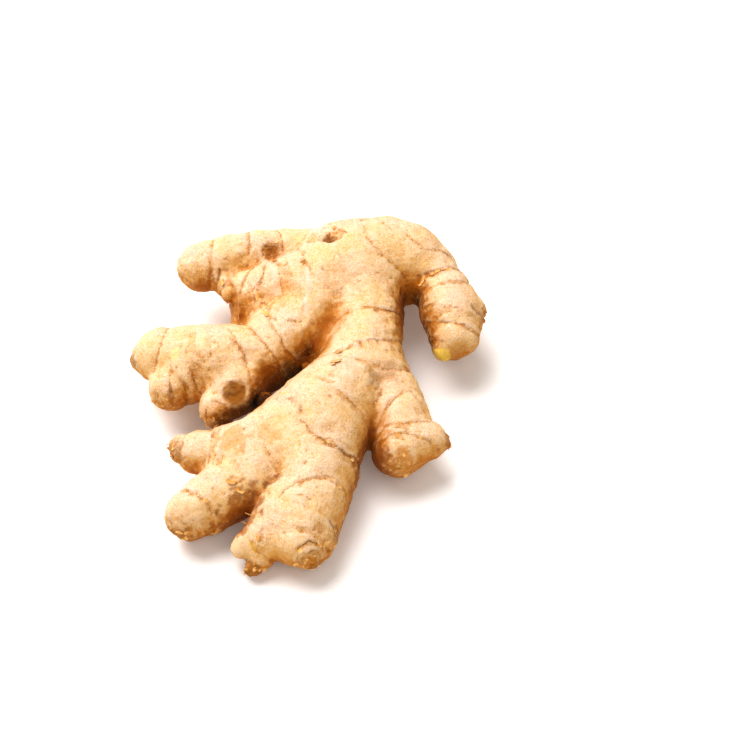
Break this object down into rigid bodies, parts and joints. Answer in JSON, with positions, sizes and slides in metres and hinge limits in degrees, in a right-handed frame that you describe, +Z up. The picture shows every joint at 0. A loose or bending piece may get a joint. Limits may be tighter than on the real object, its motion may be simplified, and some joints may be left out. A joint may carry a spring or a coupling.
{
  "type": "fresh ginger root",
  "caption": "Whole fresh ginger rhizome with knobbly branching fingers, growth rings, buds and a broken end, lying flat.",
  "frame": {"origin": "on the table, under the middle of the root's box", "axes": "+Z up from the table, +Y from the two front toes to the crown at the back, +X towards the finger side"},
  "size_m": [0.1262, 0.1532, 0.0395],
  "materials": {
    "skin": "matte"
  },
  "bodies": {
    "root": {"rhizome": "skin"}
  },
  "joints": []
}
